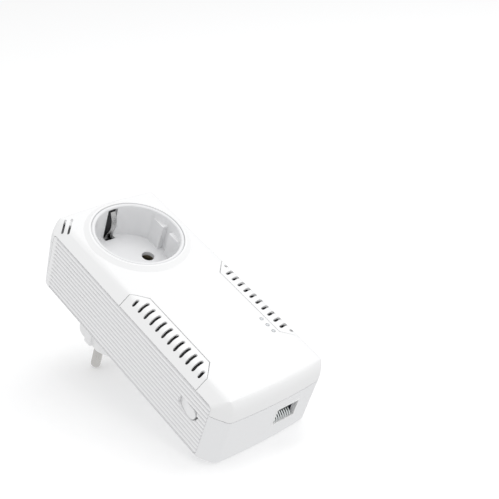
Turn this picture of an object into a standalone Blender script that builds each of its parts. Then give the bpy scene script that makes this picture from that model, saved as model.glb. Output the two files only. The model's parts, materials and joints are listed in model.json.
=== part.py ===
"""Pass-through powerline adapter, modelled as its separate pieces.

Frame: metres, +Z up, as the adapter hangs in a wall socket. The origin is the
middle of the plug's flat contact face, the pins point along +Y into the wall,
the front face looks along -Y and X runs across the width.
"""

import math

import bmesh
import bpy
from mathutils import Matrix, Vector

MM = 0.001
GAP = 0.3 * MM
HALF_GAP = GAP / 2

# Levels along Y, from the front to the tips of the pins.
RIM_Y = -61.7 * MM
FACE_Y = -60.1 * MM
SIDE_SEAM_Y = FACE_Y + 5.4 * MM
END_SEAM_Y = FACE_Y + 10.2 * MM
BACK_Y = -24.0 * MM
PLINTH_Y = -17.6 * MM
PIN_TIP_Y = 19.0 * MM

# The housing's outline.
HALF_WIDTH = 30.5 * MM
FACE_HALF_WIDTH = 25.8 * MM
TOP_Z = 30.4 * MM
BOTTOM_Z = -100.1 * MM
END_RADIUS = 300 * MM
CORNER_X = 25.4 * MM
LOWER_CORNER_SLOPE = 7.0 / 5.1
UPPER_CORNER_SLOPE = 4.7 / 5.1
CORNER_REACH = 1.6 * MM
CREASE_REACH = 1.8 * MM
ROLL_Z = 4.2 * MM
TOP_DRAFT = 1.5 * MM
BACK_EDGE = 1.5 * MM
WALL = 2.0 * MM
CAVITY_HALF_WIDTH = 26.6 * MM

# The ribbed side panels.
PANEL_DEPTH = 2.1 * MM
PANEL_BACK_Y = FACE_Y + 34.9 * MM
PANEL_TOP_Z = 22.2 * MM
PANEL_BOTTOM_Z = -91.2 * MM
RIB_PITCH = 2.16 * MM
RIB_COUNT = 14
FIRST_RIB_Y = FACE_Y + 6.35 * MM
RIB_TOP_Z = 19.6 * MM
RIB_GROOVE = 0.75 * MM

# The slotted vent inserts.
VENT_INNER_X = 19.6 * MM
VENT_TOP_Z = -28.0 * MM
VENT_BOTTOM_Z = -81.4 * MM
VENT_CORNER = 6.2 * MM
VENT_THICKNESS = 1.2 * MM
SLOT_COUNT = 12
SLOT_PITCH = 4.11 * MM
SECOND_SLOT_Z = -36.4 * MM
SLOT_WIDTH = 1.5 * MM
SLOT_TILT = math.radians(8)

# The socket, a standard earthed recess with side clips.
SOCKET_Z = 1.8 * MM
COLLAR_RADIUS = 24.5 * MM
COLLAR_LIP_RADIUS = 22.3 * MM
WELL_OUTER = 21.2 * MM
WELL_INNER = 19.6 * MM
WELL_DEPTH = 17.5 * MM
WELL_FLOOR_Y = RIM_Y + WELL_DEPTH
WELL_BACK_Y = WELL_FLOOR_Y + 2.0 * MM
PIN_SPACING = 19.0 * MM
CONTACT_X = PIN_SPACING / 2
FLAT_X = 16.8 * MM
FLAT_TOP_Y = RIM_Y + 4.4 * MM
FLAT_HALF_LENGTH = 10.1 * MM
NOTCH_WIDTH = 4.6 * MM
CLIP_WIDTH = 3.4 * MM
CLIP_SLOT_WIDTH = 5.4 * MM
CLIP_HINGE_Y = WELL_FLOOR_Y + 1.4 * MM
CLIP_HINGE_RADIUS = 20.2 * MM
CLIP_SHEET = 0.8 * MM

# The plug.
PLUG_RADIUS = 18.5 * MM
PLUG_FLAT_X = 16.7 * MM
PLINTH_RADIUS = 23.0 * MM
PIN_RADIUS = 2.4 * MM
FLANGE_Y = BACK_Y - WALL - GAP
FLANGE_BACK_Y = FLANGE_Y - 1.7 * MM
PLUG_HOLLOW = 15.5 * MM
PLUG_FLOOR_Y = -6.0 * MM
PIN_HEAD_Y = -9.0 * MM
SLEEVE_BACK_Y = -24.4 * MM

# The boards and what stands on them.
MAIN_BOARD_Y = -33.1 * MM
BOARD_THICKNESS = 1.6 * MM
FRONT_BOARD_Y = -56.5 * MM
FRONT_BOARD_BACK_Y = FRONT_BOARD_Y + BOARD_THICKNESS
JACK_X = 8.3 * MM
JACK_TOP_Y = MAIN_BOARD_Y - GAP - 13.5 * MM
PORT_Y = FACE_Y + 16.2 * MM
LED_X = 17.5 * MM
LED_Z = (-65.7 * MM, -69.7 * MM, -73.7 * MM)
SCREWS = ((-21.5 * MM, 23.2 * MM), (21.5 * MM, 23.2 * MM), (-21.8 * MM, -91.0 * MM), (21.8 * MM, -91.0 * MM))

# The pair button.
BUTTON_Y = FACE_Y + 17.7 * MM
BUTTON_Z = -80.1 * MM
BUTTON_LENGTH = 12.0 * MM
BUTTON_WIDTH = 5.3 * MM
PLUNGER_X = -25.6 * MM

MATERIALS = {
    "white_plastic": ((0.88, 0.88, 0.87, 1), 0.35, 0.0),
    "white_ribbed": ((0.83, 0.83, 0.83, 1), 0.45, 0.0),
    "socket_plastic": ((0.86, 0.86, 0.85, 1), 0.4, 0.0),
    "nickel": ((0.72, 0.70, 0.66, 1), 0.25, 1.0),
    "brass": ((0.78, 0.62, 0.32, 1), 0.3, 1.0),
    "gold": ((0.90, 0.72, 0.34, 1), 0.25, 1.0),
    "black_plastic": ((0.03, 0.03, 0.035, 1), 0.5, 0.0),
    "board_green": ((0.03, 0.16, 0.07, 1), 0.45, 0.0),
    "aluminium": ((0.75, 0.76, 0.77, 1), 0.35, 1.0),
    "steel": ((0.62, 0.62, 0.63, 1), 0.3, 1.0),
    "clear_plastic": ((0.85, 0.87, 0.88, 1), 0.15, 0.0),
    "copper": ((0.72, 0.38, 0.22, 1), 0.35, 1.0),
    "yellow_tape": ((0.80, 0.62, 0.12, 1), 0.5, 0.0),
    "blue_coat": ((0.05, 0.16, 0.42, 1), 0.4, 0.0),
    "ferrite": ((0.10, 0.10, 0.11, 1), 0.6, 0.0),
}


def clear_scene():
    for obj in list(bpy.data.objects):
        bpy.data.objects.remove(obj)


def add_collection(name):
    collection = bpy.data.collections.new(name)
    bpy.context.scene.collection.children.link(collection)
    return collection


def build_materials():
    for name, (colour, roughness, metallic) in MATERIALS.items():
        material = bpy.data.materials.new(name)
        material.use_nodes = True
        shader = material.node_tree.nodes["Principled BSDF"]
        shader.inputs["Base Color"].default_value = colour
        shader.inputs["Roughness"].default_value = roughness
        shader.inputs["Metallic"].default_value = metallic


def finish_object(name, mesh, matrix=None, smooth=None):
    """An object in the parts' collection, with its place in its transform."""
    if smooth is not None:
        mesh.shade_smooth()
        mesh.set_sharp_from_angle(angle=math.radians(smooth))
    obj = bpy.data.objects.new(name, mesh)
    if matrix is not None:
        obj.matrix_world = matrix
    PARTS.objects.link(obj)
    return obj


def from_bmesh(name, bm, matrix=None, smooth=None):
    mesh = bpy.data.meshes.new(name)
    bm.to_mesh(mesh)
    bm.free()
    return finish_object(name, mesh, matrix, smooth)


def box(name, low, high, bevel=0.0):
    size = [h - l for l, h in zip(low, high)]
    middle = [(h + l) / 2 for l, h in zip(low, high)]
    bm = bmesh.new()
    bmesh.ops.create_cube(bm, size=1, matrix=Matrix.Diagonal((*size, 1)))
    obj = from_bmesh(name, bm, Matrix.Translation(middle))
    if bevel:
        add_bevel(obj, bevel)
    return obj


def add_bevel(obj, width, segments=1, angle=35):
    bevel = obj.modifiers.new("edges", "BEVEL")
    bevel.width = width
    bevel.segments = segments
    bevel.limit_method = "ANGLE"
    bevel.angle_limit = math.radians(angle)
    return bevel


def axis_matrix(axis, location):
    """Turns local +Z onto the world axis."""
    turn = {
        "X": Matrix.Rotation(math.radians(90), 4, "Y"),
        "Y": Matrix.Rotation(math.radians(-90), 4, "X"),
        "Z": Matrix.Identity(4),
    }[axis]
    return Matrix.Translation(location) @ turn


def rod(name, radius, axis, start, end, across, segments=32):
    """A cylinder along an axis, where across holds its two other coordinates in X, Y, Z order."""
    middle = list(across)
    middle.insert("XYZ".index(axis), (start + end) / 2)
    bm = bmesh.new()
    bmesh.ops.create_cone(
        bm, cap_ends=True, segments=segments, radius1=radius, radius2=radius, depth=end - start
    )
    return from_bmesh(name, bm, axis_matrix(axis, middle), smooth=40)


def turned(name, profile, centre, steps=48, closed=False):
    """A profile of (radius, y) points turned about the line along Y through centre (x, z)."""
    bm = bmesh.new()
    verts = [bm.verts.new((radius, 0, y)) for radius, y in profile]
    for first, second in zip(verts, verts[1:]):
        bm.edges.new((first, second))
    if closed:
        bm.edges.new((verts[-1], verts[0]))
    obj = from_bmesh(name, bm, axis_matrix("Y", (centre[0], 0, centre[1])))
    screw = obj.modifiers.new("turn", "SCREW")
    screw.steps = steps
    screw.render_steps = steps
    screw.use_merge_vertices = True
    screw.merge_threshold = 0.00001
    return obj


def prism(name, outline, axis, start, end):
    """An outline pulled along an axis. Its points are (x, z) for Y, (y, z) for X and (x, y) for Z."""
    curve = bpy.data.curves.new(name, "CURVE")
    curve.dimensions = "2D"
    curve.fill_mode = "BOTH"
    curve.extrude = (end - start) / 2
    spline = curve.splines.new("POLY")
    spline.points.add(len(outline) - 1)
    for point, (u, v) in zip(spline.points, outline):
        point.co = (u, v, 0, 1)
    spline.use_cyclic_u = True
    middle = (start + end) / 2
    right = math.radians(90)
    placed = {
        "X": Matrix.Translation((middle, 0, 0))
        @ Matrix.Rotation(right, 4, "Z")
        @ Matrix.Rotation(right, 4, "X"),
        "Y": Matrix.Translation((0, middle, 0)) @ Matrix.Rotation(right, 4, "X"),
        "Z": Matrix.Translation((0, 0, middle)),
    }[axis]
    guide = bpy.data.objects.new(name + "_outline", curve)
    PARTS.objects.link(guide)
    bpy.context.view_layer.update()
    graph = bpy.context.evaluated_depsgraph_get()
    mesh = bpy.data.meshes.new_from_object(guide.evaluated_get(graph))
    bpy.data.objects.remove(guide)
    bm = bmesh.new()
    bm.from_mesh(mesh)
    bmesh.ops.remove_doubles(bm, verts=bm.verts, dist=0.000001)
    bmesh.ops.recalc_face_normals(bm, faces=bm.faces)
    bm.to_mesh(mesh)
    bm.free()
    return finish_object(name, mesh, placed, smooth=35)


def stadium(centre, length, width, tilt=0.0, steps=6):
    """A slot's outline: its long way lies along the first coordinate before it is tilted."""
    points = []
    for side, start in ((1, -90), (-1, 90)):
        for step in range(steps + 1):
            angle = math.radians(start + 180 * step / steps)
            u = side * (length - width) / 2 + math.cos(angle) * width / 2
            v = math.sin(angle) * width / 2
            points.append((u, v))
    turn_u, turn_v = math.cos(tilt), math.sin(tilt)
    return [
        (centre[0] + u * turn_u - v * turn_v, centre[1] + u * turn_v + v * turn_u)
        for u, v in points
    ]


def rounded_rectangle(low, high, radius, steps=4):
    points = []
    corners = (
        (high[0] - radius, low[1] + radius, -90),
        (high[0] - radius, high[1] - radius, 0),
        (low[0] + radius, high[1] - radius, 90),
        (low[0] + radius, low[1] + radius, 180),
    )
    for u, v, start in corners:
        for step in range(steps + 1):
            angle = math.radians(start + 90 * step / steps)
            points.append((u + radius * math.cos(angle), v + radius * math.sin(angle)))
    return points


def hide_as_cutter(obj):
    obj.hide_render = True
    obj.display_type = "WIRE"
    PARTS.objects.unlink(obj)
    CUTTERS.objects.link(obj)


def boolean(obj, other, operation):
    if other.name in PARTS.objects:
        hide_as_cutter(other)
    modifier = obj.modifiers.new(other.name, "BOOLEAN")
    modifier.operation = operation
    modifier.object = other
    modifier.solver = "EXACT"


def cut(obj, *others):
    for other in others:
        boolean(obj, other, "DIFFERENCE")


def join(obj, *others):
    for other in others:
        boolean(obj, other, "UNION")


def keep_inside(obj, other):
    boolean(obj, other, "INTERSECT")


def merge_meshes(name, objects):
    """One mesh made of several shapes that don't touch, for use as a single cutter."""
    bm = bmesh.new()
    for obj in objects:
        mesh = obj.data.copy()
        mesh.transform(obj.matrix_world)
        bm.from_mesh(mesh)
        bpy.data.objects.remove(obj)
    return from_bmesh(name, bm)


def set_origin(obj, point):
    """Moves the object's origin to this point, and leaves its shape where it is."""
    shift = obj.matrix_world.inverted() @ Vector(point)
    obj.data.transform(Matrix.Translation(-shift))
    obj.matrix_world = obj.matrix_world @ Matrix.Translation(shift)


def paint(obj, material):
    obj.data.materials.clear()
    obj.data.materials.append(bpy.data.materials[material])
    return obj


# ---------------------------------------------------------------- housing


def softened(points, reach):
    """The outline with its sharp corners rounded, each over this reach along both its sides."""
    soft = []
    for i, corner in enumerate(points):
        before = points[i - 1] - corner
        after = points[(i + 1) % len(points)] - corner
        if before.angle(-after) < math.radians(15):
            soft.append(corner)
            continue
        first = corner + before.normalized() * reach
        last = corner + after.normalized() * reach
        soft += [first, (first + 2 * corner + last) / 4, last]
    return soft


def ring(y, half_width, end_inset, corner_x, top_extra=0.0, arc_steps=8):
    """One level of the housing: gently bowed ends and cut corners, seen from the front."""
    corner = max(half_width - corner_x, 0.4 * MM)
    across = half_width - corner
    points = []
    upper = (TOP_Z, 1, top_extra, UPPER_CORNER_SLOPE)
    lower = (BOTTOM_Z, -1, 0.0, LOWER_CORNER_SLOPE)
    for end_z, sign, extra, slope in (upper, lower):
        apex = end_z - sign * (end_inset + extra)
        sag = END_RADIUS - math.sqrt(END_RADIUS**2 - across**2)
        side_z = apex - sign * (sag + corner * slope)
        points.append(Vector((sign * half_width, y, side_z)))
        for step in range(arc_steps + 1):
            x = sign * across * (1 - 2 * step / arc_steps)
            bow = END_RADIUS - math.sqrt(END_RADIUS**2 - x**2)
            points.append(Vector((x, y, apex - sign * bow)))
        points.append(Vector((-sign * half_width, y, side_z)))
    chamfer = corner * math.hypot(1, UPPER_CORNER_SLOPE)
    return softened(points, min(CORNER_REACH, 0.4 * chamfer))


def loft(name, rings):
    bm = bmesh.new()
    loops = [[bm.verts.new(point) for point in level] for level in rings]
    for near, far in zip(loops, loops[1:]):
        for i in range(len(near)):
            j = (i + 1) % len(near)
            bm.faces.new((near[i], near[j], far[j], far[i]))
    bm.faces.new(loops[0])
    bm.faces.new(loops[-1])
    bmesh.ops.recalc_face_normals(bm, faces=bm.faces)
    return from_bmesh(name, bm, smooth=30)


def roll_inset(depth):
    """How far the end still has to reach out, at this depth behind the face."""
    turn = math.acos(max(0.0, 1 - depth / (END_SEAM_Y - FACE_Y)))
    return ROLL_Z * (1 - math.sin(turn))


def width_at(depth):
    slope = (HALF_WIDTH - FACE_HALF_WIDTH) / (SIDE_SEAM_Y - FACE_Y)
    return min(HALF_WIDTH, FACE_HALF_WIDTH + slope * depth)


def outer_form(name, inward=0.0, narrower=0.0):
    """The housing's whole outer shape, or the same shape set back for a ledge."""
    rings = []
    for depth in (0, 0.34, 1.36, 2.99, 4.2, 5.4, 7.5, 10.2):
        depth *= MM
        half_width = width_at(depth) - narrower
        if depth == 0:
            half_width -= CREASE_REACH
        elif depth < CREASE_REACH / 2:
            half_width -= CREASE_REACH / 4
        rings.append(ring(FACE_Y + inward + depth, half_width, roll_inset(depth), CORNER_X))
    edge_y = BACK_Y - BACK_EDGE
    rings.append(ring(edge_y, HALF_WIDTH - narrower, 0, CORNER_X, TOP_DRAFT))
    round_off = 0.29 * BACK_EDGE
    edge_width = HALF_WIDTH - narrower
    rings.append(ring(BACK_Y - round_off, edge_width - round_off, round_off, CORNER_X, TOP_DRAFT))
    rings.append(ring(BACK_Y, edge_width - BACK_EDGE, BACK_EDGE, CORNER_X, TOP_DRAFT))
    return loft(name, rings)


def cavity_form(name):
    corner_x = CORNER_X - 1.6 * MM
    seam_inset = WALL + roll_inset(5.4 * MM)
    return loft(
        name,
        [
            ring(FACE_Y + WALL, CAVITY_HALF_WIDTH - 3.2 * MM, WALL + ROLL_Z, corner_x),
            ring(SIDE_SEAM_Y, CAVITY_HALF_WIDTH, seam_inset, corner_x),
            ring(END_SEAM_Y, CAVITY_HALF_WIDTH, WALL, corner_x),
            ring(BACK_Y - WALL, CAVITY_HALF_WIDTH, WALL, corner_x, TOP_DRAFT),
        ],
    )


def half_space(name, low_y, high_y):
    reach = 150 * MM
    return box(name, (-reach, low_y, -reach), (reach, high_y, reach))


def panel_pocket(name, side):
    near, far = sorted((side * (HALF_WIDTH - PANEL_DEPTH), side * (HALF_WIDTH + 2 * MM)))
    outline = rounded_rectangle(
        (SIDE_SEAM_Y - HALF_GAP, PANEL_BOTTOM_Z - HALF_GAP),
        (PANEL_BACK_Y + HALF_GAP, PANEL_TOP_Z + HALF_GAP),
        1.8 * MM,
    )
    return prism(name, outline, "X", near, far)


def vent_outline(side, grow):
    """The vent insert's edge: across the facet, then in over the face with cut corners."""
    outer = HALF_WIDTH + 1 * MM
    inner = VENT_INNER_X - grow
    shoulder = VENT_INNER_X + VENT_CORNER
    slant = 0.4 * grow
    points = [
        (outer, VENT_TOP_Z + grow),
        (shoulder + slant, VENT_TOP_Z + grow),
        (inner, VENT_TOP_Z - VENT_CORNER + slant),
        (inner, VENT_BOTTOM_Z + VENT_CORNER - slant),
        (shoulder + slant, VENT_BOTTOM_Z - grow),
        (outer, VENT_BOTTOM_Z - grow),
    ]
    return [(side * x, z) for x, z in points]


def vent_slots(name, side):
    """Twelve parallel slots over the edge, the first and the last of them short."""
    cutters = []
    for index in range(SLOT_COUNT):
        short = index in (0, SLOT_COUNT - 1)
        inner_x = (24.4 if short else 21.6) * MM
        outer_x = 27.7 * MM
        z = SECOND_SLOT_Z + SLOT_PITCH * (1 - index)
        middle = side * (inner_x + outer_x) / 2
        pivot = side * 21.6 * MM
        centre = (middle, z + (middle - pivot) * math.tan(SLOT_TILT))
        outline = stadium(centre, outer_x - inner_x, SLOT_WIDTH, SLOT_TILT)
        cutters.append(prism(f"{name}_{index}", outline, "Y", FACE_Y - 2 * MM, FACE_Y + 8 * MM))
    return merge_meshes(name, cutters)


def corner_slots(name):
    """The two short slots across the upper left corner."""
    cutters = []
    for index, (x, z, length) in enumerate(((-26.3, 21.8, 6.5), (-24.2, 20.1, 9.3))):
        outline = stadium((x * MM, z * MM), length * MM, 1.0 * MM, math.radians(47))
        cutters.append(prism(f"{name}_{index}", outline, "Y", FACE_Y - 2 * MM, FACE_Y + 4.7 * MM))
    return merge_meshes(name, cutters)


def make_front_cover():
    cover = outer_form("front_cover")
    cut(cover, half_space("behind_seam", END_SEAM_Y - HALF_GAP, BACK_Y + 20 * MM))
    collar_profile = [
        (0, FACE_Y + 1 * MM),
        (COLLAR_RADIUS + 0.3 * MM, FACE_Y + 1 * MM),
        (COLLAR_RADIUS, FACE_Y),
        (COLLAR_LIP_RADIUS + 0.4 * MM, RIM_Y + 0.35 * MM),
        (COLLAR_LIP_RADIUS, RIM_Y),
        (0, RIM_Y),
    ]
    join(cover, turned("collar", collar_profile, (0, SOCKET_Z), 64))
    cut(cover, cavity_form("cavity"))
    for side, label in ((-1, "left"), (1, "right")):
        cut(cover, panel_pocket(f"cover_pocket_{label}", side))
        seat = prism(
            f"vent_seat_{label}", vent_outline(side, HALF_GAP), "Y", FACE_Y - MM, SIDE_SEAM_Y + MM
        )
        cut(seat, outer_form(f"seat_floor_{label}", VENT_THICKNESS + HALF_GAP, 0.6 * MM))
        cut(cover, seat)
        opening = vent_outline(side, -1.3 * MM)
        limit = 28.9 * MM
        opening = [(max(-limit, min(limit, x)), z) for x, z in opening]
        cut(cover, prism(f"vent_way_{label}", opening, "Y", FACE_Y - MM, FACE_Y + 9 * MM))
    for z in LED_Z:
        cut(cover, rod("led_hole", 0.9 * MM, "Y", FACE_Y - MM, FACE_Y + 4 * MM, (LED_X, z), 20))
    cut(cover, corner_slots("corner_slots"))
    for x, z in SCREWS:
        boss = rod("cover_boss", 3.2 * MM, "Y", FACE_Y + 1 * MM, -46 * MM, (x, z), 20)
        join(cover, boss)
        cut(cover, rod("boss_bore", 1.5 * MM, "Y", -56 * MM, -45 * MM, (x, z), 16))
    cut(cover, rod("well_hole", WELL_OUTER + GAP, "Y", RIM_Y - MM, -45 * MM, (0, SOCKET_Z), 64))
    return paint(cover, "white_plastic")


def make_rear_shell():
    shell = outer_form("rear_shell")
    cut(shell, half_space("before_seam", RIM_Y - 10 * MM, END_SEAM_Y + HALF_GAP))
    join(shell, rod("plinth", PLINTH_RADIUS, "Y", BACK_Y - MM, PLINTH_Y, (0, 0), 64))
    cut(shell, cavity_form("rear_cavity"))
    for x, z in SCREWS:
        post = rod("rear_post", 3.3 * MM, "Y", -45.7 * MM, BACK_Y - MM, (x, z), 20)
        join(shell, post)
        cut(shell, rod("post_bore", 1.6 * MM, "Y", -47 * MM, BACK_Y + MM, (x, z), 16))
        cut(shell, rod("head_bore", 2.9 * MM, "Y", BACK_Y - 2.6 * MM, BACK_Y + MM, (x, z), 20))
    for x, z in ((-15 * MM, -66 * MM), (15 * MM, -40 * MM)):
        post = rod("board_post", 2.2 * MM, "Y", -31.2 * MM, BACK_Y - MM, (x, z), 16)
        join(shell, post)
    cut(shell, rod("plug_hole", PLUG_RADIUS + GAP, "Y", -30 * MM, -10 * MM, (0, 0), 64))
    for side, label in ((-1, "left"), (1, "right")):
        cut(shell, panel_pocket(f"rear_pocket_{label}", side))
    way = stadium((BUTTON_Z, BUTTON_Y), BUTTON_LENGTH + 2.4 * MM, BUTTON_WIDTH + 2.4 * MM)
    way = [(y, z) for z, y in way]
    cut(shell, prism("button_way", way, "X", -HALF_WIDTH, -HALF_WIDTH + 8 * MM))
    port = rounded_rectangle(
        (JACK_X - 6.1 * MM, PORT_Y - 0.3 * MM), (JACK_X + 6.1 * MM, PORT_Y + 9.0 * MM), 0.5 * MM, 2
    )
    cut(shell, prism("port_way", port, "Z", BOTTOM_Z - 3 * MM, BOTTOM_Z + 6 * MM))
    return paint(shell, "white_plastic")


def make_side_panel(name, side):
    inner, outer = side * (HALF_WIDTH - PANEL_DEPTH + HALF_GAP), side * HALF_WIDTH
    outline = rounded_rectangle(
        (SIDE_SEAM_Y + HALF_GAP, PANEL_BOTTOM_Z), (PANEL_BACK_Y, PANEL_TOP_Z), 1.6 * MM
    )
    panel = prism(name, outline, "X", min(inner, outer), max(inner, outer))
    grooves = []
    length = RIB_TOP_Z - PANEL_BOTTOM_Z + 2 * MM
    for index in range(RIB_COUNT):
        y = FIRST_RIB_Y + index * RIB_PITCH
        bm = bmesh.new()
        bmesh.ops.create_cube(bm, size=1, matrix=Matrix.Diagonal((RIB_GROOVE, RIB_GROOVE, length, 1)))
        place = Matrix.Translation((outer, y, RIB_TOP_Z - length / 2))
        groove = from_bmesh("groove", bm, place @ Matrix.Rotation(math.radians(45), 4, "Z"))
        bpy.context.view_layer.update()
        grooves.append(groove)
    cut(panel, merge_meshes(name + "_grooves", grooves))
    if side < 0:
        hole = stadium((BUTTON_Z, BUTTON_Y), BUTTON_LENGTH + 2 * GAP, BUTTON_WIDTH + 2 * GAP)
        hole = [(y, z) for z, y in hole]
        cut(panel, prism("button_hole", hole, "X", -HALF_WIDTH - 2 * MM, -HALF_WIDTH + 4 * MM))
    return paint(panel, "white_ribbed")


def make_vent_insert(name, side):
    insert = outer_form(name)
    edge = prism(
        name + "_edge", vent_outline(side, -HALF_GAP), "Y", FACE_Y - MM, SIDE_SEAM_Y - HALF_GAP
    )
    keep_inside(insert, edge)
    cut(insert, outer_form(name + "_back", VENT_THICKNESS, 0.55 * MM))
    cut(insert, vent_slots(name + "_slots", side))
    return paint(insert, "white_plastic")


# ---------------------------------------------------------------- socket


def make_socket_well():
    edge = 0.5 * MM
    profile = [
        (0, WELL_BACK_Y),
        (WELL_OUTER, WELL_BACK_Y),
        (WELL_OUTER, RIM_Y + edge),
        (WELL_OUTER - edge, RIM_Y),
        (WELL_INNER + edge, RIM_Y),
        (WELL_INNER, RIM_Y + edge),
        (WELL_INNER, WELL_FLOOR_Y),
        (0, WELL_FLOOR_Y),
    ]
    well = turned("socket_well", profile, (0, SOCKET_Z), 64)
    notch_low = SOCKET_Z - NOTCH_WIDTH / 2
    notch_high = SOCKET_Z + NOTCH_WIDTH / 2
    low_end = SOCKET_Z - FLAT_HALF_LENGTH
    high_end = SOCKET_Z + FLAT_HALF_LENGTH
    limit_radius = WELL_INNER + 0.9 * MM
    for side in (-1, 1):
        low_x, high_x = sorted((side * FLAT_X, side * (WELL_INNER + 0.8 * MM)))
        for low_z, high_z in ((low_end, notch_low), (notch_high, high_end)):
            name = f"guide_block_{side}_{low_z > 0}"
            block = box(
                name, (low_x, FLAT_TOP_Y, low_z), (high_x, WELL_FLOOR_Y + 0.5 * MM, high_z)
            )
            limit = rod("block_limit", limit_radius, "Y", RIM_Y, WELL_BACK_Y, (0, SOCKET_Z), 48)
            keep_inside(block, limit)
            join(well, block)
    for side in (-1, 1):
        x = side * CONTACT_X
        cut(well, rod("pin_way", 3.0 * MM, "Y", WELL_FLOOR_Y - MM, WELL_BACK_Y + MM, (x, SOCKET_Z), 24))
        low, high = sorted((SOCKET_Z + side * 17.0 * MM, SOCKET_Z + side * 23.0 * MM))
        slot_low = (-CLIP_SLOT_WIDTH / 2, RIM_Y + 1.3 * MM, low)
        slot_high = (CLIP_SLOT_WIDTH / 2, WELL_BACK_Y + MM, high)
        cut(well, box(f"clip_slot_{side}", slot_low, slot_high))
    return paint(well, "socket_plastic")


def make_contact_carrier():
    low = (-16 * MM, WELL_BACK_Y + GAP, SOCKET_Z - 8 * MM)
    high = (16 * MM, FLANGE_BACK_Y - 0.4 * MM, SOCKET_Z + 8 * MM)
    carrier = box("contact_carrier", low, high, 0.6 * MM)
    for side in (-1, 1):
        x = side * CONTACT_X
        cut(carrier, rod("sleeve_bore", 4.3 * MM, "Y", low[1] - MM, high[1] + MM, (x, SOCKET_Z), 28))
    channel_low = (-2.7 * MM, low[1] - MM, low[2] - MM)
    channel_high = (2.7 * MM, low[1] + 1.8 * MM, high[2] + MM)
    cut(carrier, box("bridge_channel", channel_low, channel_high))
    return paint(carrier, "black_plastic")


def make_socket_contact(name, side):
    """The sleeve that takes a plug's pin, flared at its mouth and slit down one side."""
    front, back = WELL_BACK_Y + 0.4 * MM, SLEEVE_BACK_Y
    profile = [
        (0, back),
        (3.9 * MM, back),
        (3.9 * MM, front),
        (3.4 * MM, front),
        (3.1 * MM, front + 1 * MM),
        (3.1 * MM, back - 0.7 * MM),
        (0, back - 0.7 * MM),
    ]
    sleeve = turned(name, profile, (side * CONTACT_X, SOCKET_Z), 28)
    middle = side * CONTACT_X
    slit_low = (middle - 0.35 * MM, front - MM, SOCKET_Z)
    slit_high = (middle + 0.35 * MM, back - 2 * MM, SOCKET_Z + 6 * MM)
    cut(sleeve, box(name + "_slit", slit_low, slit_high))
    return paint(sleeve, "brass")


def clip_outline(side):
    """The earth clip from its foot to its curled tip, as (y, z) points along both faces."""
    middle_line = (
        (WELL_BACK_Y + 0.9 * MM, CLIP_HINGE_RADIUS),
        (CLIP_HINGE_Y, CLIP_HINGE_RADIUS),
        (RIM_Y + 14.0 * MM, 19.7 * MM),
        (RIM_Y + 11.4 * MM, 18.5 * MM),
        (RIM_Y + 8.8 * MM, 17.9 * MM),
        (RIM_Y + 6.2 * MM, 18.3 * MM),
        (RIM_Y + 4.2 * MM, 19.3 * MM),
        (RIM_Y + 2.8 * MM, CLIP_HINGE_RADIUS),
    )
    half = CLIP_SHEET / 2
    outer = [(y, SOCKET_Z + side * (radius + half)) for y, radius in middle_line]
    inner = [(y, SOCKET_Z + side * (radius - half)) for y, radius in middle_line]
    return outer + inner[::-1]


def make_earth_clip(name, side):
    clip = prism(name, clip_outline(side), "X", -CLIP_WIDTH / 2, CLIP_WIDTH / 2)
    set_origin(clip, (0, CLIP_HINGE_Y, SOCKET_Z + side * CLIP_HINGE_RADIUS))
    return paint(clip, "nickel")


def make_earth_bridge():
    """The strap behind the well that links both clips."""
    front = WELL_BACK_Y + 1.2 * MM
    half = CLIP_WIDTH / 2
    low_z, high_z = SOCKET_Z - 21.0 * MM, SOCKET_Z + 21.0 * MM
    bridge = box("earth_bridge", (-half, front, low_z), (half, front + CLIP_SHEET, high_z))
    return paint(bridge, "nickel")


def make_earth_link():
    """The strap that carries the earth from the bridge back to the plug's side contacts."""
    front, back = WELL_BACK_Y + 1.2 * MM + CLIP_SHEET + GAP, FLANGE_BACK_Y - GAP
    low, high = SOCKET_Z + 15.2 * MM, SOCKET_Z + 18.6 * MM
    outline = [
        (front, low),
        (front, high),
        (back, high),
        (back, low),
        (back - 0.8 * MM, low),
        (back - 0.8 * MM, high - 0.8 * MM),
        (front + 0.8 * MM, high - 0.8 * MM),
        (front + 0.8 * MM, low),
    ]
    return paint(prism("earth_link", outline, "X", -2 * MM, 2 * MM), "nickel")


# ---------------------------------------------------------------- plug


def make_plug_body():
    profile = [
        (0, 0),
        (PLUG_RADIUS - 0.8 * MM, 0),
        (PLUG_RADIUS, -0.8 * MM),
        (PLUG_RADIUS, FLANGE_Y),
        (21.0 * MM, FLANGE_Y),
        (21.0 * MM, FLANGE_BACK_Y),
        (PLUG_HOLLOW, FLANGE_BACK_Y),
        (PLUG_HOLLOW, PLUG_FLOOR_Y),
        (0, PLUG_FLOOR_Y),
    ]
    body = turned("plug_body", profile, (0, 0), 64)
    for side in (-1, 1):
        low_x, high_x = sorted((side * PLUG_FLAT_X, side * (PLUG_RADIUS + MM)))
        for low_z, high_z in ((-9.5 * MM, -2.1 * MM), (2.1 * MM, 9.5 * MM)):
            notch = box("side_flat", (low_x, PLINTH_Y + 2.4 * MM, low_z), (high_x, MM, high_z))
            cut(body, notch)
        bore = rod("pin_bore", PIN_RADIUS + GAP, "Y", -32 * MM, MM, (side * CONTACT_X, 0), 24)
        cut(body, bore)
        low, high = sorted((side * 17.2 * MM, side * 20.0 * MM))
        groove_low = (-2.8 * MM, PLINTH_Y + 0.6 * MM, low)
        cut(body, box("earth_groove", groove_low, (2.8 * MM, -1.6 * MM, high)))
    return paint(body, "white_plastic")


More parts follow.
